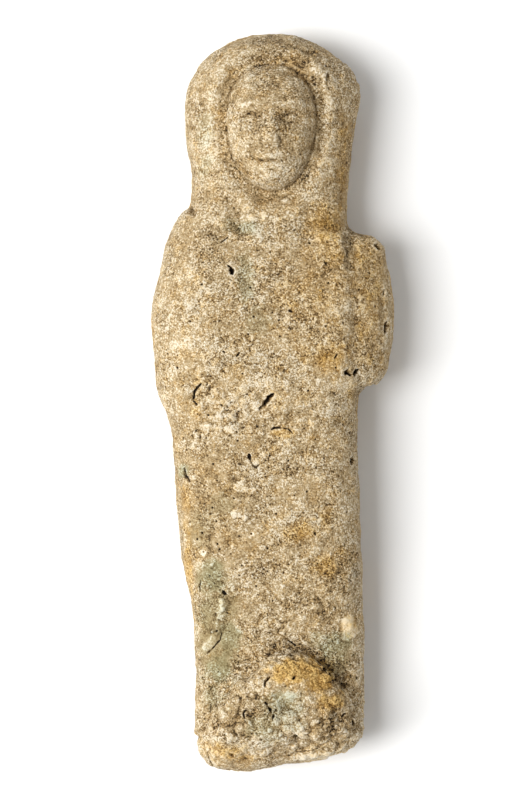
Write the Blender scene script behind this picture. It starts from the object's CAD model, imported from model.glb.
"""Looks of the ushabti: a small mummiform figure of worn quartz paste, lying on its back.

The surface is a finer copy of the figure's solid. It is meshed anew, worn with lumps and grit,
cut with the cracks, pits and breaks that the real one has, and coloured as bare faience paste
with stains and the last of its glaze. Lengths in the tables are in millimetres. +X is the
figure's own left, +Y runs from the sole to the crown, and +Z comes out of the chest.
"""

import math

import bpy
import numpy as np
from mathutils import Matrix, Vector, kdtree, noise


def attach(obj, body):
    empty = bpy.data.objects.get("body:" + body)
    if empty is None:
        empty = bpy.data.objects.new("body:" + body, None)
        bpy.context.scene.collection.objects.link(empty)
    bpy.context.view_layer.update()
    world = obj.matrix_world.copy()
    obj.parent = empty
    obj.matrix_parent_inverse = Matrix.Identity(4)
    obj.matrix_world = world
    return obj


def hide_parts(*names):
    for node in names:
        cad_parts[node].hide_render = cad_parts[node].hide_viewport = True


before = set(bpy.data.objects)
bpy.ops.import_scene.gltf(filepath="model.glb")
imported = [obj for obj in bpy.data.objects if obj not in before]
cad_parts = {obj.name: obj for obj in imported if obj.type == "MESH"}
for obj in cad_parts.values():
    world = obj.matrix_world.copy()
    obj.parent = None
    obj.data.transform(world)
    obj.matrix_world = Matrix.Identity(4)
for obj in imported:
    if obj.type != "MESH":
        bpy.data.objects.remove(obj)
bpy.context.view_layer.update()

MM = 0.001

# Mesh
CELL = 0.14 * MM  # spacing of the mesh while the surface is worn
WELD = 0.002 * MM  # vertices nearer than this to each other are one
FRONT_FROM = 5.0  # what lies higher than this belongs to the front
FACE_FROM = 8.0  # and the features of the face lie higher than this,
RIM_FROM = 6.0  # the line round the face higher than this
FLAT = np.array((1.0, 1.0, 0.0))
HEIGHT_LEEWAY = 2.0  # how far over or under its line a crack or ridge still shows
MARGIN = 0.32  # how far round a crack or pit the mesh is cut finer
DARKEST_FROM = 0.30  # a crack or pit this deep is as dark as any
MOST_TRIANGLES = 192000

# Camera: straight above the figure, with the picture's framing
LENS = 105.0
SENSOR = 36.0
CAMERA_PLACE = (-0.8 * MM, 0.2 * MM, 275.5 * MM)

# Light: a soft box, narrow and upright, on the figure's right, and even light all round
KEY_WIDTH = 0.26
KEY_HEIGHT = 0.42
KEY_DISTANCE = 0.6
KEY_TURN = 187.0
KEY_RISE = 56.0
KEY_ENERGY = 4.5
ROOM_LIGHT = 0.44

# Worn relief: (name, kind of texture, size of a lump, height, zone where it is strong)
RELIEF = (
    ("wear", "CLOUDS", 4.5, 0.36, None),
    ("knobs", "CLOUDS", 1.7, 0.27, None),
    ("grit", "CLOUDS", 0.50, 0.15, "front"),
    ("belly nodules", "VORONOI", 1.3, -0.75, "nodular"),
    ("rubble", "VORONOI", 1.5, -1.40, "broken"),
    ("rubble grit", "CLOUDS", 0.5, 0.35, "broken"),
)

# Where the relief is strong: (x, y, half width, half length, strength)
ROUGH_ZONES = {
    "front": ((0.0, 0.0, 40.0, 80.0, 1.0),),
    "nodular": (
        (-3.6, -0.8, 4.2, 3.0, 0.8), (2.6, -2.2, 3.0, 1.8, 0.7), (-6.2, 3.0, 2.4, 3.2, 0.6),
        (-1.5, -9.5, 3.4, 2.6, 0.4), (1.0, -25.5, 3.2, 1.8, 0.5), (7.6, 20.5, 1.4, 2.6, 0.4),
    ),
    "broken": (
        (-4.6, -35.8, 4.2, 3.8, 0.50), (2.2, -34.8, 3.6, 2.6, 0.6), (7.6, -36.2, 3.0, 3.2, 0.75),
        (4.8, -38.6, 4.4, 1.6, 0.6), (5.4, -22.8, 3.6, 1.8, 0.4), (-3.0, -39.6, 4.6, 1.4, 0.4),
        (0.0, -31.2, 2.4, 1.2, 0.4), (2.6, 39.4, 3.6, 1.3, 0.35), (4.6, 37.2, 2.2, 2.0, 0.35),
    ),
}

# Cracks, slits and pits: (name, points (x, y, z), half width, depth)
MARKS = (
    ("chest hole", ((-4.74, 15.05, 13.0), (-4.58, 14.45, 13.0)), 0.29, 1.10),
    ("chest hole spur", ((-5.10, 15.35, 13.0), (-4.70, 15.10, 13.0)), 0.12, 0.50),
    ("belly slit", ((-0.08, 0.80, 13.2), (-0.80, -0.08, 13.0), (-1.45, -0.85, 12.8)), 0.29, 1.10),
    ("right arm slit", ((-8.12, 2.06, 13.0), (-8.86, 1.16, 12.6), (-9.03, 0.25, 12.2)), 0.15, 0.50),
    ("right arm slit end", ((-9.00, 0.10, 12.2), (-8.58, -0.37, 12.3)), 0.12, 0.30),
    ("belly pit right", ((-5.62, 5.68, 13.7), (-5.38, 5.50, 13.7)), 0.13, 0.50),
    ("belly pit left", ((-4.10, 5.08, 13.7), (-3.80, 5.50, 13.7)), 0.13, 0.50),
    ("belly pit middle", ((-3.45, 3.20, 13.7), (-3.40, 3.05, 13.7)), 0.12, 0.50),
    ("belly pit low", ((-5.95, -0.35, 13.3), (-5.75, -0.55, 13.3)), 0.14, 0.50),
    ("belly pinhole", ((-4.75, -0.10, 13.3), (-4.70, -0.15, 13.3)), 0.13, 0.40),
    ("elbow crevice", ((8.51, 3.60, 12.3), (8.30, 3.25, 12.5), (8.90, 3.05, 12.0)), 0.21, 0.85),
    ("elbow crevice fork", ((9.75, 3.66, 11.4), (9.30, 3.30, 11.4), (9.24, 2.92, 11.6)), 0.20, 0.85),
    ("elbow side slit", ((13.00, 9.05, 9.2), (12.80, 7.85, 9.6)), 0.27, 0.90),
    ("elbow side slit, upper", ((12.72, 12.75, 9.4), (12.60, 12.15, 9.4)), 0.12, 0.40),
    ("elbow top pit", ((11.62, 17.97, 8.6), (12.17, 17.42, 8.5)), 0.21, 0.80),
    ("chest hair crack", ((-5.90, 17.95, 12.4), (-5.10, 18.60, 12.3)), 0.08, 0.30),
    ("chest left pit", ((5.75, 15.95, 13.0), (5.88, 15.60, 13.0), (6.10, 15.30, 13.0)), 0.09, 0.28),
    ("chest left pinhole", ((8.20, 20.5, 12.0), (8.25, 20.4, 12.0)), 0.13, 0.35),
    ("chest middle pit", ((1.75, 10.30, 13.6), (2.10, 10.10, 13.6)), 0.13, 0.35),
    ("belly left slit", ((7.20, 5.35, 13.0), (6.95, 4.85, 13.0)), 0.10, 0.35),
    ("thigh crack", ((0.85, -2.92, 12.7), (0.20, -2.88, 12.7), (-0.20, -3.12, 12.7)), 0.13, 0.60),
    ("thigh crack tail", ((0.90, -2.90, 12.7), (1.75, -3.05, 12.7), (2.25, -3.60, 12.6)), 0.08, 0.22),
    ("thigh curl", ((-2.72, -5.90, 12.6), (-2.62, -6.55, 12.6)), 0.18, 0.55),
    (
        "thigh curl end",
        ((-2.60, -6.50, 12.6), (-2.35, -7.15, 12.5), (-1.95, -7.42, 12.5), (-1.50, -7.05, 12.5)), 0.10, 0.28,
    ),
    ("right thigh curl", ((-10.15, -7.60, 10.2), (-9.98, -8.45, 10.2), (-9.50, -9.02, 10.8)), 0.21, 0.65),
    ("left thigh pit", ((9.10, -6.35, 9.4), (8.95, -7.15, 9.6)), 0.24, 0.70),
    ("shin pit", ((-5.75, -21.55, 10.8), (-5.35, -21.85, 10.8)), 0.20, 0.60),
    ("shin edge crack", ((-8.24, -20.30, 9.0), (-8.42, -21.10, 9.0), (-8.30, -21.60, 9.0)), 0.10, 0.20),
    (
        "worm undercut",
        ((-5.85, -26.40, 10.3), (-6.05, -27.10, 9.9), (-6.70, -27.95, 9.6), (-7.50, -28.75, 8.9)), 0.09, 0.20,
    ),
    ("worm hole", ((-6.42, -26.05, 10.2), (-6.36, -26.12, 10.2)), 0.12, 0.40),
    ("ankle pinhole", ((-0.05, -22.55, 12.2), (0.0, -22.6, 12.2)), 0.13, 0.40),
    ("left shin pit", ((4.75, -14.75, 12.0), (4.85, -15.05, 12.0)), 0.12, 0.45),
    ("ankle cut, top", ((1.69, -27.20, 12.2), (2.49, -27.73, 12.0), (3.40, -28.15, 11.6)), 0.11, 0.30),
    ("ankle cut, side", ((5.05, -29.25, 11.4), (5.30, -29.70, 11.2)), 0.11, 0.26),
    ("ankle cut, side, lower", ((5.70, -30.20, 10.9), (6.05, -30.60, 10.6)), 0.11, 0.26),
    ("ankle cut, specks", ((6.35, -30.60, 10.8), (6.60, -30.95, 10.6)), 0.12, 0.25),
    ("ankle cut, middle", ((6.70, -31.55, 10.6), (7.25, -31.75, 10.4)), 0.12, 0.25),
    ("ankle cut, low", ((7.80, -32.15, 10.2), (8.30, -32.70, 9.8)), 0.10, 0.22),
    ("foot hollow", ((-0.35, -30.96, 12.8), (-0.85, -31.40, 12.8), (-0.91, -31.98, 12.8)), 0.14, 0.55),
    ("foot top pit", ((2.50, -30.88, 13.0), (2.20, -31.18, 13.0)), 0.13, 0.45),
    ("foot right pinhole", ((-3.15, -32.15, 12.8), (-3.10, -32.2, 12.8)), 0.12, 0.40),
    ("foot pit", ((-0.85, -33.75, 13.2), (-0.60, -34.05, 13.2)), 0.14, 0.45),
    ("foot pit, middle", ((-0.45, -34.40, 13.2), (-0.25, -34.75, 13.2)), 0.15, 0.45),
    ("foot pit, lower", ((0.10, -35.15, 13.2), (-0.05, -35.55, 13.2)), 0.13, 0.40),
    ("foot pit, side", ((0.25, -34.55, 13.2), (0.50, -34.75, 13.2)), 0.15, 0.35),
    ("right foot pit", ((-3.05, -34.70, 12.9), (-3.35, -35.10, 12.9), (-3.22, -35.60, 12.9)), 0.12, 0.40),
    ("toe pit", ((9.05, -36.15, 9.7), (9.24, -36.90, 9.7)), 0.16, 0.70),
    ("toe crack", ((5.30, -36.60, 10.8), (5.75, -36.25, 10.7)), 0.14, 0.40),
    ("toe crack, middle", ((6.35, -36.15, 10.6), (6.85, -36.05, 10.5)), 0.13, 0.35),
    ("toe crack, side", ((7.75, -35.70, 10.4), (8.20, -35.30, 10.2)), 0.12, 0.40),
    ("ankle side pit", ((9.55, -31.50, 8.9), (9.70, -31.75, 8.9)), 0.13, 0.55),
    ("plinth dent", ((2.30, -37.80, 11.5), (2.75, -37.55, 11.5)), 0.17, 0.50),
    ("plinth flake", ((2.40, -39.75, 10.0), (3.60, -39.70, 10.0), (5.10, -39.30, 10.0)), 0.09, 0.22),
    ("plinth side facet", ((-7.60, -39.00, 8.0), (-7.35, -40.60, 7.5), (-6.90, -41.70, 7.0)), 0.11, 0.30),
    ("plinth chip", ((-4.90, -39.85, 10.1), (-4.50, -40.25, 10.1)), 0.22, 0.40),
)

# Round lumps that stand out of the paste: (x, y, radius, height, share of a dimple in the middle)
NODULES = (
    (-2.50, -2.96, 0.52, 0.17, 0.6), (-3.70, -9.50, 0.72, 0.15, 0.4), (-7.70, -2.80, 0.60, 0.14, 0.2),
    (-6.60, 1.30, 0.60, 0.12, 0.2), (-7.80, -3.70, 0.45, 0.11, 0.0), (-4.40, -1.55, 0.60, 0.14, 0.3),
    (-5.30, -1.70, 0.45, 0.12, 0.0), (-0.70, -1.60, 0.50, 0.11, 0.3), (1.60, 2.05, 0.50, 0.11, 0.4),
    (-8.60, -3.90, 0.35, 0.10, 0.0), (-6.20, -1.60, 0.42, 0.11, 0.4), (-3.60, -2.20, 0.40, 0.11, 0.0),
    (-6.90, -1.90, 0.40, 0.11, 0.3), (-1.60, -3.50, 0.42, 0.11, 0.2), (-5.00, -3.20, 0.50, 0.12, 0.2),
    (0.35, 16.20, 0.32, 0.10, 0.0), (-0.85, 12.50, 0.50, 0.08, 0.0), (4.90, 9.40, 0.34, 0.13, 0.2),
    (1.00, 8.76, 0.30, 0.09, 0.0), (-3.10, 6.40, 0.60, 0.11, 0.2), (1.30, 7.00, 0.36, 0.09, 0.0),
    (-9.00, 4.20, 0.36, 0.09, 0.2), (4.96, -5.50, 0.30, 0.09, 0.0), (4.35, -4.50, 0.30, 0.09, 0.0),
    (-4.15, -12.50, 0.60, 0.13, 0.0), (-3.20, -13.10, 0.45, 0.13, 0.2), (-2.70, -13.60, 0.40, 0.11, 0.0),
    (-8.00, -17.10, 0.42, 0.10, 0.0), (-4.60, -21.20, 0.28, 0.11, 0.0), (-5.95, -22.70, 0.34, 0.12, 0.0),
    (-5.70, -23.60, 0.40, 0.12, 0.0), (-6.15, -24.50, 0.36, 0.11, 0.0), (-1.20, -16.40, 0.42, 0.11, 0.3),
    (-4.60, -16.20, 0.34, 0.11, 0.3), (0.60, -25.40, 0.36, 0.12, 0.0), (1.10, -26.20, 0.32, 0.11, 0.0),
    (-0.60, -25.80, 0.34, 0.11, 0.2), (3.65, -37.10, 0.34, 0.19, 0.0), (2.90, -37.35, 0.30, 0.15, 0.0),
    (6.05, -36.20, 0.40, 0.20, 0.0), (7.20, -36.60, 0.34, 0.18, 0.0), (6.80, -37.40, 0.32, 0.15, 0.0),
    (9.20, -35.10, 0.30, 0.15, 0.0), (4.60, -35.90, 0.40, 0.14, 0.0), (-4.80, -37.60, 0.50, 0.14, 0.2),
    (-5.90, -38.30, 0.55, 0.15, 0.0), (-2.00, -37.90, 0.42, 0.14, 0.2), (-0.40, -36.90, 0.36, 0.14, 0.0),
    (-3.90, -36.60, 0.44, 0.14, 0.0), (-2.40, -33.00, 0.46, 0.14, 0.2), (-4.10, -33.60, 0.40, 0.13, 0.0),
    (0.90, -37.30, 0.36, 0.15, 0.0), (-6.60, -36.40, 0.42, 0.14, 0.0), (8.20, -37.20, 0.34, 0.17, 0.0),
)
SCATTERED_NODULES = 110  # places drawn for more of them
SCATTERED_NODULES_FROM = 0.5  # those that lie lower are left out
SCATTERED_NODULE_RADII = (0.18, 0.42)
SCATTERED_NODULE_RISE = 0.25  # share of its radius

# Single small holes of the front: (x, y), all of about the same width
PINHOLES = (
    (-6.45, -13.59), (-8.05, -14.87), (-3.85, -15.16), (-6.23, -16.09), (-6.05, -16.70),
    (-4.76, -17.22), (-0.69, -16.63), (-3.51, -18.58), (-3.86, -19.72), (-7.95, -17.00),
    (-2.40, -14.90), (-6.90, -11.95), (-7.10, -12.70), (-8.60, -15.60), (0.30, -12.6),
    (-1.90, -20.90), (1.20, -19.40), (-7.35, -1.40), (-8.70, -3.30), (-2.60, 12.9),
    (-0.30, 16.8), (4.20, 17.9), (7.90, 8.9), (10.9, 14.6), (11.6, 10.9), (9.70, 12.7),
    (12.4, 6.6), (3.95, 1.20), (5.80, -6.40), (8.40, -12.60), (-4.40, -10.80),
    (-2.20, 9.60), (-9.30, 9.10), (-8.10, 13.2), (-10.8, 3.80), (1.70, -6.60), (3.90, -10.2),
)
PINHOLE_RADIUS = 0.13
PINHOLE_DEPTH = 0.35
SCATTERED_HOLES = 180  # places drawn for more of them
SCATTERED_HOLES_FROM = 0.3  # those that lie lower are left out
SCATTERED_HOLE_RADII = (0.08, 0.13)
SCATTERED_HOLE_DEPTH = 2.2  # in radii
SCATTER_SEED = 11

# Ridges that stand up and worn grooves: (name, points, half width, height)
FOLDS = (
    ("worm", ((-5.80, -22.60, 10.6), (-5.90, -23.90, 10.5), (-6.15, -25.20, 10.4)), 0.55, 0.45),
    ("worm ring, lower", ((-6.72, -26.10, 10.2), (-6.40, -26.40, 10.2), (-6.06, -26.12, 10.2)), 0.16, 0.26),
    ("worm ring, upper", ((-6.72, -26.10, 10.2), (-6.40, -25.78, 10.2), (-6.06, -26.12, 10.2)), 0.16, 0.26),
    ("worm tail", ((-6.90, -26.95, 10.0), (-7.45, -27.85, 9.4), (-8.10, -28.80, 8.8)), 0.50, 0.42),
    ("plinth rim", ((2.40, -40.40, 9.0), (5.30, -40.05, 9.0), (7.50, -39.35, 9.0)), 0.36, 0.30),
    ("shin lump", ((-3.5, -12.9, 12.4), (-3.2, -13.3, 12.4)), 1.0, 0.18),
    ("pale lump", ((8.50, -25.20, 9.2), (8.60, -26.30, 9.2)), 0.85, 0.20),
    ("plinth knob", ((-6.25, -38.10, 9.6), (-6.20, -38.30, 9.6)), 0.75, 0.35),
    (
        "foot rim",
        ((-0.60, -29.60, 12.4), (1.60, -29.30, 12.6), (3.90, -29.75, 12.2), (5.90, -31.10, 11.4)), 0.95, 0.50,
    ),
    ("foot rim end", ((6.30, -31.60, 11.0), (7.60, -33.40, 10.4), (8.00, -34.60, 10.2)), 0.80, 0.35),
    ("crown corner", ((8.80, 37.90, 7.0), (9.70, 36.40, 7.0)), 1.50, 0.34),
    ("elbow corner", ((11.40, 18.40, 8.0), (12.30, 17.70, 8.0)), 1.10, 0.30),
    ("elbow corner, lower", ((12.20, 4.00, 7.0), (11.60, 2.60, 7.0)), 1.10, 0.28),
    ("sole corner", ((-9.30, -38.30, 5.0), (-8.60, -39.80, 5.0), (-7.40, -41.30, 5.0)), 1.30, -0.80),
    ("sole edge, middle", ((0.30, -41.80, 5.0), (2.20, -41.40, 5.0)), 1.20, -0.25),
    ("sole edge, left foot", ((6.20, -40.80, 5.0), (8.20, -40.30, 5.0)), 1.20, -0.35),
    ("under the elbow", ((10.60, 1.40, 6.0), (11.80, 1.90, 6.0)), 0.80, -0.45),
    ("wig crease", ((6.45, 37.40, 9.0), (6.20, 36.20, 9.3), (6.60, 35.20, 9.6)), 0.26, -0.36),
    ("toe corner", ((10.20, -38.60, 5.0), (9.00, -40.40, 5.0)), 1.00, -0.50),
    ("crown step", ((1.10, 40.30, 8.0), (4.00, 39.80, 8.0), (5.60, 37.90, 8.0)), 0.50, -0.25),
    ("neck notch", ((-9.80, 22.10, 6.0), (-8.60, 21.60, 9.0)), 0.55, -0.60),
    (
        "ankle cut",
        (
            (0.90, -26.95, 12.0), (2.60, -27.75, 12.0), (5.10, -29.20, 11.4),
            (7.40, -31.80, 10.4), (8.80, -33.20, 10.0),
        ),
        0.55, -0.36,
    ),
    (
        "mound edge",
        ((0.90, -27.30, 12.2), (-0.80, -29.10, 12.2), (-2.40, -30.20, 12.0), (-3.80, -31.50, 11.8)),
        0.50, -0.26,
    ),
    ("elbow groove, upper", ((8.30, 19.40, 10.6), (8.80, 17.60, 11.4), (9.00, 14.50, 11.8)), 0.75, -0.30),
    ("elbow groove, lower", ((9.10, 13.50, 11.8), (9.20, 8.50, 11.9), (8.90, 4.30, 12.2)), 0.60, -0.08),
    ("beside the elbow slit", ((12.20, 12.90, 9.9), (12.60, 9.00, 9.8), (12.30, 6.50, 9.9)), 0.45, -0.20),
    ("shoulder groove", ((-8.80, 20.60, 10.6), (-7.00, 19.20, 12.0), (-5.00, 18.40, 12.6)), 0.70, -0.16),
    (
        "under the right forearm",
        ((-8.20, -0.60, 12.4), (-5.60, -0.90, 13.0), (-3.00, -1.60, 13.2)), 0.60, -0.26,
    ),
    ("under the left forearm", ((1.20, -1.60, 13.2), (3.60, -1.00, 13.2), (6.40, -0.20, 13.0)), 0.60, -0.16),
)

# Face: (name, points (across, up) in shares of its half width and its height, half width of the
# line, rise). A line that keeps off the middle is drawn on both sides.
FACE_MIDDLE = -0.21
FACE_HALF_WIDTH = 5.35
CHIN = 24.14
FACE_HEIGHT = 13.77
FACE_ROUNDNESS = 2.2
FACE_TAPER = 0.20
FACE_RIM = (1.05, 0.035, 0.30)  # the line round the face: distance, half width (shares), depth
FACE_LINES = (
    ("upper lid", ((0.22, 0.562), (0.33, 0.590), (0.46, 0.598), (0.62, 0.572)), 0.20, -0.26),
    ("lower lid", ((0.25, 0.535), (0.40, 0.520), (0.58, 0.542)), 0.17, -0.18),
    ("brow edge", ((0.18, 0.655), (0.40, 0.692), (0.68, 0.665)), 0.32, 0.18),
    ("nose wing", ((0.16, 0.395), (0.235, 0.362), (0.17, 0.318)), 0.18, -0.23),
    ("beside the chin", ((0.20, 0.120), (0.30, 0.085)), 0.40, -0.13),
    (
        "lips' parting",
        ((-0.27, 0.218), (-0.10, 0.209), (0.0, 0.214), (0.10, 0.209), (0.27, 0.218)), 0.17, -0.34,
    ),
    ("under the lower lip", ((-0.14, 0.128), (0.0, 0.122), (0.14, 0.128)), 0.30, -0.18),
    ("philtrum", ((0.0, 0.305), (0.0, 0.268)), 0.16, -0.13),
)

# Colour of the paste from its gaps to its quartz grains: (tone, colour)
PASTE = (
    (0.00, "#2A1F12"),
    (0.16, "#5C482C"),
    (0.32, "#866E49"),
    (0.46, "#9F8760"),
    (0.60, "#B09972"),
    (0.74, "#C0AA85"),
    (0.88, "#D6C4A3"),
    (0.98, "#ECE0C8"),
)
OCHRE_TINT = "#FFE4A6"
GLAZE_TINT = "#DBE9E6"
PAPER = "#F6F6F5"

# Cloudy patterns of the paste: (size of the largest spot, finer layers in it, their strength)
PATTERNS = {
    "clumps": (4.0, 1.0, 1.0),
    "crumbs": (1.2, 1.0, 1.0),
    "sand": (0.22, 2.0, 0.9),
    "worn": (3.0, 2.0, 0.6),
    "rust": (1.5, 3.0, 0.8),
}
GRAIN = 0.16  # quartz grains; the finest are drawn as coarse as this, so that they show
CHIP = 0.60  # spacing of the white quartz chips and dark gaps

# Share of each pattern in the grit, and what brings its middle to nought
GRIT = {"clumps": 0.5, "crumbs": 0.58, "sand": 2.05, "grain": 0.60, "grain edge": -0.50}
GRIT_MIDDLE = -1.512

# Share of each mark in the tone of the paste, and the tone where there is none
TONE = {"tone": 1.0, "hollow": -2.1, "nodule": 0.17, "glaze": 0.03, "sunk": -0.48}
MIDDLE_TONE = 0.55

# Stains and pale or dark patches of the front: (x, y, half width, half length, strength)
PATCHES = {
    "ochre": (
        (10.9, 14.3, 2.3, 5.1, 0.45), (10.7, 8.1, 2.0, 3.9, 0.38), (5.9, 20.3, 2.3, 2.5, 0.68),
        (6.4, 16.6, 1.6, 2.3, 0.52), (6.4, 5.1, 2.3, 1.9, 0.6), (3.3, 5.8, 1.1, 0.9, 0.38),
        (3.1, -14.6, 1.9, 1.2, 0.68), (6.0, -13.3, 0.7, 1.6, 0.52), (6.0, -18.8, 1.5, 1.5, 0.75),
        (8.1, -17.8, 1.1, 1.4, 0.3), (1.3, -3.5, 1.4, 0.6, 0.6), (-0.1, -0.9, 1.1, 0.7, 0.22),
        (2.8, -30.3, 3.3, 1.3, 1.25), (5.3, -31.4, 1.7, 1.3, 1.15), (6.8, -33.8, 1.6, 1.2, 0.8),
        (-9.9, -11.1, 0.5, 4.5, 0.3), (-9.7, -20.1, 0.6, 5.6, 0.6), (-5.4, -39.5, 2.0, 1.0, 0.6),
        (-3.4, -40.6, 2.0, 0.7, 0.3), (8.1, 29.5, 0.9, 1.6, 0.38), (0.8, 38.6, 2.3, 0.7, 0.22),
        (-4.2, 3.4, 1.4, 0.9, 0.22), (-8.2, 1.9, 0.9, 2.3, 0.22), (1.3, 12.6, 1.8, 1.6, 0.3),
        (4.2, 10.4, 2.3, 1.6, 0.3), (-0.3, 0.8, 0.9, 0.7, 0.22), (4.4, -4.3, 1.1, 0.7, 0.22),
        (7.5, -4.3, 0.9, 1.1, 0.22), (8.9, 1.9, 0.7, 2.3, 0.3), (-8.7, -0.9, 0.7, 1.4, 0.3),
        (8.4, 26.5, 1.2, 6.0, 0.45), (5.5, 12.0, 3.6, 6.0, 0.26), (8.6, -25.7, 1.2, 1.5, 0.35),
    ),
    "glaze": (
        (-6.9, -19.9, 1.6, 2.3, 1.0), (-7.6, -24.1, 1.0, 2.0, 0.7), (-5.1, -26.9, 1.6, 2.5, 0.9),
        (-6.2, -30.5, 1.7, 1.6, 1.0), (-6.9, -33.6, 1.1, 1.6, 0.6), (7.0, -27.9, 2.2, 1.7, 0.9),
        (7.2, -29.8, 1.6, 1.6, 0.55),
        (5.1, -26.9, 1.1, 0.9, 0.5), (1.0, -33.6, 1.8, 1.2, 0.8), (-1.3, -36.6, 2.0, 1.4, 0.6),
        (1.9, -36.1, 1.6, 0.9, 0.4), (-3.1, 13.7, 1.0, 2.9, 0.6), (-1.7, 9.2, 1.4, 1.8, 0.35),
        (-10.2, -7.9, 0.7, 0.9, 0.9), (-2.9, 19.6, 1.5, 1.0, 0.7), (-7.7, 30.7, 0.9, 2.3, 0.35),
        (-7.7, 26.7, 0.8, 1.4, 0.4), (-4.6, 19.9, 1.1, 0.9, 0.4), (-8.2, -14.5, 1.4, 2.5, 0.3),
        (-5.8, -11.6, 1.4, 1.6, 0.35), (-0.3, -37.6, 1.6, 0.9, 0.4),
        (-6.2, -26.5, 2.6, 7.0, 0.55), (1.2, -34.2, 2.4, 1.8, 0.6),
    ),
    "smooth": (
        (-7.0, -12.5, 3.0, 7.0, 0.6), (-6.2, -24.0, 2.6, 8.5, 0.6), (-9.0, 3.0, 1.4, 5.0, 0.3),
        (8.6, 24.0, 1.4, 4.0, 0.3), (-2.6, -15.0, 2.0, 3.5, 0.35), (3.0, -8.0, 4.0, 3.5, 0.15),
    ),
    "pale": (
        (-5.9, -23.9, 0.6, 1.5, 0.9), (-7.4, -27.9, 0.7, 1.2, 0.9), (0.0, 20.6, 0.6, 0.5, 0.7),
        (-6.9, 29.5, 1.2, 2.7, 0.5), (-7.7, 26.7, 0.9, 1.6, 0.5),
        (-5.8, -0.0, 1.4, 1.7, 0.6), (-4.0, -3.4, 2.0, 0.9, 0.5), (-2.6, 2.0, 1.6, 0.9, 0.4),
        (8.1, 1.9, 1.4, 2.9, 0.35), (-1.3, 15.8, 1.4, 0.7, 0.3), (-8.2, 4.1, 1.4, 1.6, 0.3),
        (-4.3, -0.4, 1.1, 0.7, 0.5), (-3.3, -8.3, 1.1, 0.9, 0.5), (-1.3, -10.2, 0.9, 0.7, 0.4),
        (-4.6, -21.2, 0.3, 0.3, 0.8), (-2.6, -17.8, 0.7, 0.5, 0.4), (1.3, -26.9, 0.9, 0.6, 0.5),
        (-1.3, -25.5, 0.8, 0.5, 0.4), (5.0, -40.5, 3.0, 0.8, 1.4), (-3.7, -40.1, 2.7, 0.6, 0.4),
        (-3.3, -32.5, 1.6, 0.8, 0.6), (-5.4, -34.8, 0.9, 0.9, 0.5), (-6.7, -37.6, 0.7, 1.1, 0.5),
        (2.8, -37.0, 0.7, 0.5, 0.6), (4.2, -37.6, 0.5, 0.3, 0.8), (-9.4, 14.9, 0.9, 3.4, 0.3),
        (-11.1, 8.1, 0.9, 3.4, 0.35), (1.9, 0.2, 2.0, 0.9, 0.4), (5.9, 0.8, 1.6, 1.4, 0.4),
        (7.0, 10.4, 1.4, 0.9, 0.3), (-9.2, 9.0, 3.0, 6.5, 0.35), (1.2, -33.6, 1.8, 1.0, 0.9),
        (1.0, -29.9, 2.4, 0.9, 0.4), (4.0, -30.6, 1.6, 0.8, 0.4),
        (-4.0, -39.4, 3.2, 1.2, 0.85), (-4.6, -0.8, 3.6, 2.0, 0.55), (-3.4, -9.4, 1.2, 1.0, 0.5),
        (-4.0, -12.9, 1.4, 0.9, 0.5), (5.6, -0.4, 3.0, 3.0, 0.35),
    ),
    "dark": (
        (5.5, -23.5, 2.7, 1.6, 0.7), (7.3, -22.4, 1.6, 1.1, 0.5), (5.1, -28.2, 1.6, 0.6, 0.7),
        (7.9, -30.6, 1.4, 1.9, 1.2), (6.4, -28.6, 1.6, 1.0, 0.7), (9.2, -33.6, 0.7, 1.8, 0.6),
        (-1.3, -33.9, 0.7, 0.7, 0.8),
        (-3.2, -35.0, 0.8, 0.6, 0.8), (-1.7, -35.7, 0.8, 0.6, 0.8), (-4.6, -36.5, 0.9, 0.7, 0.4),
        (5.1, -37.6, 1.8, 0.7, 0.6), (8.1, -36.1, 1.1, 0.9, 0.9), (6.6, -36.7, 2.2, 0.7, 1.2),
        (2.6, -38.2, 0.9, 0.7, 0.5),
        (8.4, 17.4, 1.0, 2.6, 0.75), (8.2, 13.7, 0.7, 2.7, 0.35), (-5.4, -7.1, 1.6, 0.9, 0.3),
        (1.9, -23.0, 1.4, 0.9, 0.5), (-0.3, -22.4, 1.4, 0.7, 0.3), (-1.3, 7.0, 2.3, 1.1, 0.2),
        (9.2, -17.8, 0.9, 3.4, 0.4), (8.7, -26.9, 0.9, 0.7, 0.3), (0.8, 3.4, 1.6, 0.7, 0.2),
        (-3.1, 11.5, 0.9, 2.0, 0.3), (-6.2, 19.2, 2.0, 2.6, 0.45), (-7.0, -12.5, 2.8, 6.5, 0.72),
        (-6.6, -24.0, 2.6, 8.0, 0.55), (-3.6, -34.8, 3.6, 3.0, 1.0), (7.0, -27.2, 2.4, 1.7, 0.75),
        (1.0, 40.0, 5.0, 2.2, 0.75), (3.1, -14.6, 1.9, 1.2, 0.55), (0.0, 33.0, 9.5, 8.5, 0.25),
        (5.6, -30.2, 0.7, 0.9, 1.2), (7.0, -31.7, 1.0, 0.8, 1.2), (2.8, -28.0, 1.7, 0.35, 1.0),
        (7.3, -29.6, 1.9, 2.2, 1.6), (-0.4, -34.6, 0.9, 0.9, 0.8), (-3.2, -35.2, 0.6, 0.7, 0.8),
        (8.8, 28.0, 1.6, 6.5, 0.45), (5.5, 11.5, 3.8, 6.0, 0.3), (7.4, -20.5, 1.8, 2.6, 0.4),
    ),
}

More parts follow.
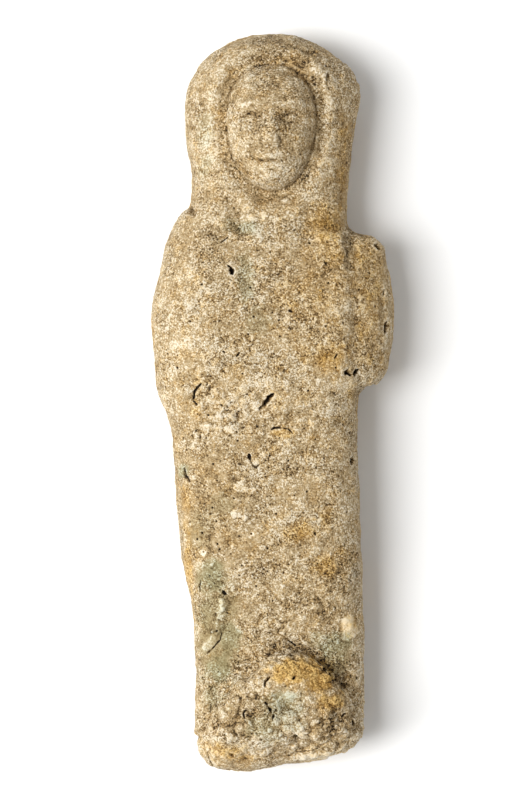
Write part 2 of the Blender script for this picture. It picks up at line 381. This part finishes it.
# Fresh chips, pale and smooth scars with sharp edges: (name, corners (x, y) in turn, strength)
CHIPS = (
    ("ankle chip", ((7.75, -24.75), (8.80, -24.00), (10.05, -26.50), (8.05, -27.35)), 0.74),
    ("neck chip", ((-1.75, 21.25), (-1.05, 21.55), (-0.60, 21.05), (-1.10, 20.55)), 1.0),
    ("neck chip right", ((-3.40, 20.75), (-2.30, 21.05), (-1.90, 20.55), (-2.90, 20.25)), 0.7),
    ("knee chip", ((-8.35, -16.75), (-7.80, -16.60), (-7.55, -17.30), (-8.00, -17.60)), 0.8),
    ("thigh chip", ((-2.75, -14.75), (-2.10, -14.60), (-2.15, -15.15), (-2.70, -15.25)), 0.8),
)


def linear(hex_colour):
    """An sRGB hex colour as linear RGBA."""
    channels = [int(hex_colour[i : i + 2], 16) / 255 for i in (1, 3, 5)]
    return tuple(c / 12.92 if c <= 0.04045 else ((c + 0.055) / 1.055) ** 2.4 for c in channels) + (1.0,)


def add(tree, kind, inputs=None, stops=None, **settings):
    """Adds a node. Inputs maps a socket to a value or to the output that feeds it."""
    made = tree.nodes.new(kind)
    for name, value in settings.items():
        setattr(made, name, value)
    for socket, value in (inputs or {}).items():
        if isinstance(value, bpy.types.NodeSocket):
            tree.links.new(value, made.inputs[socket])
        else:
            made.inputs[socket].default_value = value
    if stops:
        elements = made.color_ramp.elements
        while len(elements) < len(stops):
            elements.new(0.5)
        for element, (place, colour) in zip(elements, stops):
            element.position = place
            element.color = colour
    return made


def only(piece):
    """Selects one object alone and makes it active."""
    bpy.ops.object.select_all(action="DESELECT")
    piece.select_set(True)
    bpy.context.view_layer.objects.active = piece


def apply_modifier(piece, kind, **settings):
    """Puts a modifier on a piece and applies it at once."""
    modifier = piece.modifiers.new(kind.lower(), kind)
    for name, value in settings.items():
        setattr(modifier, name, value)
    only(piece)
    bpy.ops.object.modifier_apply(modifier=modifier.name)


def places_of(mesh):
    """Places of the vertices in millimetres."""
    places = np.empty(len(mesh.vertices) * 3, np.float32)
    mesh.vertices.foreach_get("co", places)
    return places.reshape(-1, 3).astype(float) / MM


def put_places(mesh, places):
    mesh.vertices.foreach_set("co", (places * MM).astype(np.float32).ravel())
    mesh.update()


def normals_of(mesh):
    normals = np.empty(len(mesh.vertices) * 3, np.float32)
    mesh.vertex_normals.foreach_get("vector", normals)
    return normals.reshape(-1, 3).astype(float)


def store(mesh, name, values):
    """Keeps one value of each vertex, for the material."""
    attribute = mesh.attributes.new(name, "FLOAT", "POINT")
    attribute.data.foreach_set("value", values.astype(np.float32))


def tree_of(places):
    """A tree that finds the vertices round a place."""
    tree = kdtree.KDTree(len(places))
    for i, place in enumerate(places):
        tree.insert(place, i)
    tree.balance()
    return tree


def on_front(places, x, y):
    """Place of the front's vertex that is nearest to a point in plan."""
    off = np.hypot(places[:, 0] - x, places[:, 1] - y)
    return places[np.where(places[:, 2] > FRONT_FROM, off, np.inf).argmin()]


def blurred(mesh, values, rounds):
    """Vertex values averaged with their neighbours along the edges, a number of times."""
    edges = np.empty(len(mesh.edges) * 2, np.int32)
    mesh.edges.foreach_get("vertices", edges)
    a, b = edges.reshape(-1, 2).T
    count = len(mesh.vertices)
    degree = np.bincount(a, minlength=count) + np.bincount(b, minlength=count) + 1.0
    columns = values.reshape(count, -1)
    for _ in range(rounds):
        summed = [
            np.bincount(a, column[b], count) + np.bincount(b, column[a], count) + column
            for column in columns.T
        ]
        columns = np.stack([column / degree for column in summed], axis=1)
    return columns.reshape(values.shape)


def ramp(start, end, value):
    share = np.clip((value - start) / (end - start), 0.0, 1.0)
    return share * share * (3.0 - 2.0 * share)


def bell(offset, width):
    return np.exp(-((offset / width) ** 2))


def ragged(places, size, octaves=3):
    """Cloudy unevenness of about -1 to 1, with lumps of the size given."""
    return np.array([noise.fractal(place, 1.0, 2.0, octaves) for place in places / size])


def along_line(places, points):
    """Distance from each place to a line through points, and the share of the line's length there.
    It is measured in plan, where the place is about as high as the line."""
    flat = places * FLAT
    heights = np.array(points, float)[:, 2]
    too_far_off = np.maximum(heights.min() - places[:, 2], places[:, 2] - heights.max()) - HEIGHT_LEEWAY
    line = np.array(points, float) * FLAT
    lengths = np.linalg.norm(np.diff(line, axis=0), axis=1)
    travelled = np.concatenate([[0.0], np.cumsum(lengths)])
    nearest = np.full(len(places), np.inf)
    at = np.zeros(len(places))
    for i, (start, end) in enumerate(zip(line[:-1], line[1:])):
        along = end - start
        share = np.clip((flat - start) @ along / (along @ along), 0.0, 1.0)
        off = np.linalg.norm(flat - start - share[:, None] * along, axis=1)
        closer = off < nearest
        nearest[closer] = off[closer]
        at[closer] = (travelled[i] + share[closer] * lengths[i]) / travelled[-1]
    return np.hypot(nearest, np.maximum(too_far_off, 0.0)), at


def patch_strength(places, rows, uneven):
    """How strong a set of soft-edged patches is at each place of the front."""
    strength = np.zeros(len(places))
    for x, y, half_width, half_length, strong in rows:
        edge = np.hypot((places[:, 0] - x) / half_width, (places[:, 1] - y) / half_length)
        strength = np.maximum(strength, strong * ramp(1.35, 0.45, edge + 0.45 * uneven))
    return strength


def chip_strength(places, uneven):
    """How strong the fresh chips are at each place: 1 inside their corners, 0 outside."""
    strength = np.zeros(len(places))
    for _, corners, strong in CHIPS:
        outside = np.full(len(places), -np.inf)
        for (x0, y0), (x1, y1) in zip(corners, corners[1:] + corners[:1]):
            across = (x1 - x0) * (places[:, 1] - y0) - (y1 - y0) * (places[:, 0] - x0)
            outside = np.maximum(outside, across / math.hypot(x1 - x0, y1 - y0))
        strength = np.maximum(strength, strong * ramp(0.10, -0.08, outside + 0.10 * uneven))
    return strength


def make_surface():
    """A rounded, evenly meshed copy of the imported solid."""
    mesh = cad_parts["ushabti"].data.copy()
    figure = bpy.data.objects.new("worn_ushabti", mesh)
    bpy.context.scene.collection.objects.link(figure)
    only(figure)
    bpy.ops.object.mode_set(mode="EDIT")
    bpy.ops.mesh.select_all(action="SELECT")
    bpy.ops.mesh.remove_doubles(threshold=WELD)
    bpy.ops.object.mode_set(mode="OBJECT")
    apply_modifier(figure, "SUBSURF", levels=2, render_levels=2)
    apply_modifier(figure, "REMESH", mode="VOXEL", voxel_size=CELL)
    apply_modifier(figure, "SMOOTH", factor=0.5, iterations=6)
    return figure


def carve_face(figure):
    """Lids, lips and nose wings on the face, worn as soft as the rest."""
    mesh = figure.data
    places = places_of(mesh)
    across = (places[:, 0] - FACE_MIDDLE) / FACE_HALF_WIDTH
    up = (places[:, 1] - CHIN) / FACE_HEIGHT
    inside = (np.abs(across) < 1.0) & (up > 0.0) & (up < 1.0)
    on_face = np.flatnonzero(inside & (places[:, 2] > FACE_FROM))
    rise = np.zeros(len(on_face))
    for _, points, half_width, line_rise in FACE_LINES:
        paired = min(point[0] for point in points) > 0.0
        side = np.abs(across[on_face]) if paired else across[on_face]
        spot = np.stack([side * FACE_HALF_WIDTH, up[on_face] * FACE_HEIGHT, np.zeros(len(on_face))], axis=1)
        line = [(x * FACE_HALF_WIDTH, y * FACE_HEIGHT, 0.0) for x, y in points]
        off, at = along_line(spot, line)
        rise += line_rise * bell(off, half_width) * (1.0 - 0.5 * np.abs(2.0 * at - 1.0) ** 3)
    places[on_face, 2] += rise
    narrowed = np.abs(across) / (1.0 - FACE_TAPER + FACE_TAPER * np.clip(up, 0.0, 1.0))
    edge = (narrowed**FACE_ROUNDNESS + np.abs(2.0 * up - 1.0) ** FACE_ROUNDNESS) ** (1 / FACE_ROUNDNESS)
    distance, half_width, depth = FACE_RIM
    uneven = 1.0 + 0.6 * ragged(places, size=1.6)
    places[:, 2] -= depth * bell(edge - distance, half_width) * uneven * (places[:, 2] > RIM_FROM)
    put_places(mesh, places)


def wear(figure):
    """Displaces the surface with the worn relief, broad lumps first."""
    places = places_of(figure.data)
    uneven = ragged(places, size=1.2)
    for zone, rows in ROUGH_ZONES.items():
        strength = patch_strength(places, rows, uneven) * (places[:, 2] > FRONT_FROM)
        group = figure.vertex_groups.new(name=zone)
        for i in np.flatnonzero(strength > 0.01):
            group.add([int(i)], float(min(strength[i], 1.0)), "REPLACE")
    for name, kind, size, height, zone in RELIEF:
        texture = bpy.data.textures.new(name, kind)
        texture.noise_scale = size * MM
        if kind == "CLOUDS":
            texture.noise_depth = 1
        apply_modifier(
            figure,
            "DISPLACE",
            texture=texture,
            texture_coords="LOCAL",
            direction="NORMAL",
            strength=height * MM,
            mid_level=0.5,
            vertex_group=zone or "",
        )


def raise_folds(figure):
    """Raises the ridges and sinks the worn grooves, with ragged edges."""
    mesh = figure.data
    places = places_of(mesh)
    normals = blurred(mesh, normals_of(mesh), rounds=8)
    uneven = ragged(places, size=0.6)
    lumps = 1.0 + 0.6 * ragged(places, size=0.9)
    rise = np.zeros(len(places))
    for _, points, half_width, height in FOLDS:
        off, at = along_line(places, points)
        ends = ramp(0.0, 0.12, at) * ramp(1.0, 0.88, at) if height < 0.0 else 1.0
        rise += height * ramp(1.45, 0.2, off / half_width + 0.30 * uneven) * ends * lumps
    put_places(mesh, places + normals * rise[:, None])


def raise_nodules(figure):
    """Raises the round lumps, each with a crease round it, and others scattered over the whole."""
    mesh = figure.data
    places = places_of(mesh)
    normals = blurred(mesh, normals_of(mesh), rounds=8)
    chance = np.random.default_rng(SCATTER_SEED)
    lumps = [
        (on_front(places, x, y), radius, height, dimple) for x, y, radius, height, dimple in NODULES
    ]
    for i in chance.choice(len(places), SCATTERED_NODULES, replace=False):
        radius = chance.uniform(*SCATTERED_NODULE_RADII)
        if places[i, 2] > SCATTERED_NODULES_FROM:
            lumps.append((places[i], radius, SCATTERED_NODULE_RISE * radius, 0.0))
    tree = tree_of(places)
    uneven = ragged(places, size=0.8, octaves=4)
    rise = np.zeros(len(places))
    pale = np.zeros(len(places))
    for middle, radius, height, dimple in lumps:
        near = tree.find_range(middle, radius * 2.0)
        index = np.array([i for _, i, _ in near])
        edge = np.array([off for _, _, off in near]) / radius * (1.0 + 0.9 * uneven[index])
        top = np.clip(1.0 - edge**2, 0.0, 1.0)
        crease = bell(edge - 1.25, 0.28)
        rise[index] += height * (top - 0.5 * crease - 1.4 * dimple * bell(edge, 0.34))
        pale[index] += top - 0.8 * crease - 1.2 * dimple * bell(edge, 0.30)
    put_places(mesh, places + normals * rise[:, None])
    store(mesh, "nodule", pale)


def scattered_holes(places):
    """Place, radius and depth of each pinhole: those of the table, and others over the whole."""
    chance = np.random.default_rng(SCATTER_SEED)
    holes = [(on_front(places, x, y), PINHOLE_RADIUS, PINHOLE_DEPTH) for x, y in PINHOLES]
    for i in chance.choice(len(places), SCATTERED_HOLES, replace=False):
        radius = chance.uniform(*SCATTERED_HOLE_RADII)
        if places[i, 2] > SCATTERED_HOLES_FROM:
            holes.append((places[i], radius, SCATTERED_HOLE_DEPTH * radius))
    return holes


def depth_of_marks(places, holes):
    """How deep a crack, slit or hole is at each place, and whether one is close."""
    depth = np.zeros(len(places))
    close = np.zeros(len(places), bool)
    uneven = ragged(places, size=0.45)
    for _, points, half_width, deep in MARKS:
        off, at = along_line(places, points)
        close |= off < half_width + MARGIN
        taper = 0.45 + 0.55 * np.sqrt(np.clip(1.0 - (2.0 * at - 1.0) ** 2, 0.0, 1.0))
        edge = off / (half_width * taper) * (1.0 + 0.55 * uneven)
        depth = np.maximum(depth, deep * ramp(1.25, 0.45, edge))
    tree = tree_of(places)
    for middle, radius, deep in holes:
        for _, i, off in tree.find_range(middle, radius * 3.0):
            close[i] = True
            edge = off / radius * (1.0 + 0.3 * uneven[i])
            depth[i] = max(depth[i], deep * float(ramp(1.3, 0.3, edge)))
    return depth, close


def cut_marks(figure):
    """Cuts the mesh finer round each crack, slit and hole, and then sinks them."""
    mesh = figure.data
    places = places_of(mesh)
    holes = scattered_holes(places)
    _, close = depth_of_marks(places, holes)
    only(figure)
    bpy.ops.object.mode_set(mode="EDIT")
    bpy.ops.mesh.select_all(action="DESELECT")
    bpy.ops.object.mode_set(mode="OBJECT")
    mesh.vertices.foreach_set("select", close)
    bpy.ops.object.mode_set(mode="EDIT")
    bpy.ops.mesh.select_mode(type="VERT")
    bpy.ops.mesh.subdivide(number_cuts=1, smoothness=0.0)
    bpy.ops.object.mode_set(mode="OBJECT")
    places = places_of(mesh)
    depth, _ = depth_of_marks(places, holes)
    normals = blurred(mesh, normals_of(mesh), rounds=8)
    put_places(mesh, places - normals * depth[:, None])
    store(mesh, "sunk", np.clip(depth / DARKEST_FROM, 0.0, 1.0))


def lay_flat(figure):
    """Nothing of the back reaches below the plane that it lies on."""
    places = places_of(figure.data)
    places[:, 2] = np.maximum(places[:, 2], 0.0)
    put_places(figure.data, places)


def thin_out(figure):
    """Thins the mesh to its triangle budget, most where the surface is smooth."""
    lay_flat(figure)
    faces = sum(len(face.vertices) - 2 for face in figure.data.polygons)
    apply_modifier(figure, "DECIMATE", ratio=min(1.0, MOST_TRIANGLES / faces))
    lay_flat(figure)
    figure.data.shade_smooth()


def mark_colours(figure):
    """Stores, for the material, the hollows that hold dirt and the patches of stain and glaze."""
    mesh = figure.data
    places = places_of(mesh)
    normals = normals_of(mesh)
    outward = blurred(mesh, normals, rounds=4)
    front = ramp(0.0, 0.35, blurred(mesh, normals, rounds=6)[:, 2])
    uneven = ragged(places, size=1.0, octaves=4)
    marks = {"hollow": ((blurred(mesh, places, rounds=10) - places) * outward).sum(axis=1)}
    for name, rows in PATCHES.items():
        marks[name] = patch_strength(places, rows, uneven) * front
    stains_of_back = ramp(0.10, 0.55, ragged(places + 40.0, size=5.0)) * (1.0 - front) * 0.8
    marks["ochre"] = np.maximum(marks["ochre"], stains_of_back)
    chips = chip_strength(places, ragged(places, size=0.5)) * front
    marks["smooth"] = np.maximum(marks["smooth"], 1.3 * chips)
    pale = 0.24 * np.minimum(marks.pop("pale"), 1.4)
    dark = 0.20 * marks.pop("dark") * (1.0 - chips)
    marks["tone"] = pale - dark + 0.40 * chips
    for name, values in marks.items():
        store(mesh, name, values)


def paste_material():
    """Bare faience paste: crushed quartz bound by a little glass and lime, fired porous.
    The eye sees a dry, gritty surface of cream and white grains in tan, with dark gaps.
    Ochre earth stains it, and a thin grey-green skin of glaze is left in places."""
    material = bpy.data.materials.new("bare_faience_paste")
    material.use_nodes = True
    tree = material.node_tree
    shader = tree.nodes["Principled BSDF"]
    shader.inputs["Roughness"].default_value = 0.92
    shader.inputs["IOR"].default_value = 1.5
    shader.inputs["Specular IOR Level"].default_value = 0.3
    place = add(tree, "ShaderNodeTexCoord").outputs["Object"]
    mark = {
        name: add(tree, "ShaderNodeAttribute", attribute_name=name).outputs["Fac"]
        for name in ("hollow", "sunk", "nodule", "ochre", "glaze", "smooth", "tone")
    }

    cloud = {
        name: add(
            tree,
            "ShaderNodeTexNoise",
            {"Vector": place, "Scale": 1 / (size * MM), "Detail": layers, "Roughness": strength},
        ).outputs["Fac"]
        for name, (size, layers, strength) in PATTERNS.items()
    }
    # Each quartz grain has a tone of its own, and darkens towards its edge
    grain = add(tree, "ShaderNodeTexVoronoi", {"Vector": place, "Scale": 1 / (GRAIN * MM)}, feature="F1")
    grain_colour = add(tree, "ShaderNodeSeparateColor", {0: grain.outputs["Color"]})
    patterns = {**cloud, "grain": grain_colour.outputs["Red"], "grain edge": grain.outputs["Distance"]}
    fresh = GRIT_MIDDLE
    for name, share in GRIT.items():
        fresh = add(
            tree, "ShaderNodeMath", {0: patterns[name], 1: share, 2: fresh}, operation="MULTIPLY_ADD"
        ).outputs[0]
    # One cell in ten holds a white quartz chip, and one in ten a dark gap
    chip = add(tree, "ShaderNodeTexVoronoi", {"Vector": place, "Scale": 1 / (CHIP * MM)}, feature="F1")
    chip_colour = add(tree, "ShaderNodeSeparateColor", {0: chip.outputs["Color"]})
    either = add(
        tree, "ShaderNodeMath", {0: chip_colour.outputs["Red"], 1: 2.0, 2: -1.0}, operation="MULTIPLY_ADD"
    ).outputs[0]
    either = add(tree, "ShaderNodeMath", {0: either, 1: 7.0}, operation="POWER").outputs[0]
    inside = add(
        tree,
        "ShaderNodeMapRange",
        {"Value": chip.outputs["Distance"], "From Min": 0.32, "From Max": 0.12, "To Max": 0.5},
    ).outputs[0]
    fresh = add(
        tree, "ShaderNodeMath", {0: either, 1: inside, 2: fresh}, operation="MULTIPLY_ADD"
    ).outputs[0]
    # Worn patches and the skin of glaze hide some of the grit
    calm = add(
        tree,
        "ShaderNodeMapRange",
        {"Value": cloud["worn"], "From Min": 0.38, "From Max": 0.62, "To Min": 0.70, "To Max": 1.22},
    ).outputs[0]
    for name, share in (("smooth", -0.50), ("glaze", -0.10)):
        calm = add(
            tree, "ShaderNodeMath", {0: mark[name], 1: share, 2: calm}, operation="MULTIPLY_ADD"
        ).outputs[0]
    grit = add(tree, "ShaderNodeMath", {0: fresh, 1: calm}, operation="MULTIPLY").outputs[0]
    tone = add(tree, "ShaderNodeMath", {0: grit, 1: MIDDLE_TONE}, operation="ADD").outputs[0]
    for name, share in TONE.items():
        tone = add(
            tree, "ShaderNodeMath", {0: mark[name], 1: share, 2: tone}, operation="MULTIPLY_ADD"
        ).outputs[0]
    colour = add(
        tree, "ShaderNodeValToRGB", {"Fac": tone}, stops=[(at, linear(shade)) for at, shade in PASTE]
    ).outputs["Color"]
    # One grain in four is a rusty one, and rust clouds the paste too, but less under the glaze
    stained = add(
        tree,
        "ShaderNodeMapRange",
        {"Value": grain_colour.outputs["Green"], "From Min": 0.75, "From Max": 1.0, "To Max": 0.35},
    ).outputs[0]
    cloudy = add(
        tree,
        "ShaderNodeMapRange",
        {"Value": cloud["rust"], "From Min": 0.46, "From Max": 0.68, "To Max": 0.55},
    ).outputs[0]
    for source, share in ((mark["ochre"], 1.0), (cloudy, 1.0), (mark["glaze"], -0.4)):
        stained = add(
            tree, "ShaderNodeMath", {0: source, 1: share, 2: stained}, operation="MULTIPLY_ADD"
        ).outputs[0]
    for share, tint in ((stained, OCHRE_TINT), (mark["glaze"], GLAZE_TINT)):
        colour = add(
            tree,
            "ShaderNodeMix",
            {0: share, 6: colour, 7: linear(tint)},
            data_type="RGBA",
            blend_type="MULTIPLY",
            clamp_factor=True,
        ).outputs[2]
    tree.links.new(colour, shader.inputs["Base Color"])
    bump = add(tree, "ShaderNodeBump", {"Height": grit, "Strength": 0.8, "Distance": GRAIN * MM})
    tree.links.new(bump.outputs["Normal"], shader.inputs["Normal"])
    return material


def make_stage():
    """White paper under the figure, one large soft light at its right, and even white light round it."""
    bpy.ops.mesh.primitive_plane_add(size=2.0)
    floor = bpy.context.object
    floor.name = "paper"
    paper = bpy.data.materials.new("white_paper")
    paper.use_nodes = True
    shader = paper.node_tree.nodes["Principled BSDF"]
    shader.inputs["Base Color"].default_value = linear(PAPER)
    shader.inputs["Roughness"].default_value = 0.9
    floor.data.materials.append(paper)

    key = bpy.data.lights.new("soft_box", "AREA")
    key.shape = "RECTANGLE"
    key.size = KEY_WIDTH
    key.size_y = KEY_HEIGHT
    key.energy = KEY_ENERGY
    lamp = bpy.data.objects.new("soft_box", key)
    bpy.context.scene.collection.objects.link(lamp)
    turn, rise = math.radians(KEY_TURN), math.radians(KEY_RISE)
    away = Vector((math.cos(turn) * math.cos(rise), math.sin(turn) * math.cos(rise), math.sin(rise)))
    lamp.location = away * KEY_DISTANCE
    lamp.rotation_euler = away.to_track_quat("Z", "Y").to_euler()

    world = bpy.data.worlds.new("studio")
    world.use_nodes = True
    background = world.node_tree.nodes["Background"]
    background.inputs["Color"].default_value = (1.0, 1.0, 1.0, 1.0)
    background.inputs["Strength"].default_value = ROOM_LIGHT
    bpy.context.scene.world = world
    bpy.context.scene.view_settings.view_transform = "Standard"


def make_camera():
    data = bpy.data.cameras.new("above")
    data.lens = LENS
    data.sensor_width = SENSOR
    camera = bpy.data.objects.new("above", data)
    bpy.context.scene.collection.objects.link(camera)
    camera.location = CAMERA_PLACE
    bpy.context.scene.camera = camera


figure = make_surface()
carve_face(figure)
wear(figure)
raise_folds(figure)
raise_nodules(figure)
cut_marks(figure)
thin_out(figure)
mark_colours(figure)
figure.data.materials.clear()
figure.data.materials.append(paste_material())
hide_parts("ushabti")
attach(figure, "root")
make_stage()
make_camera()
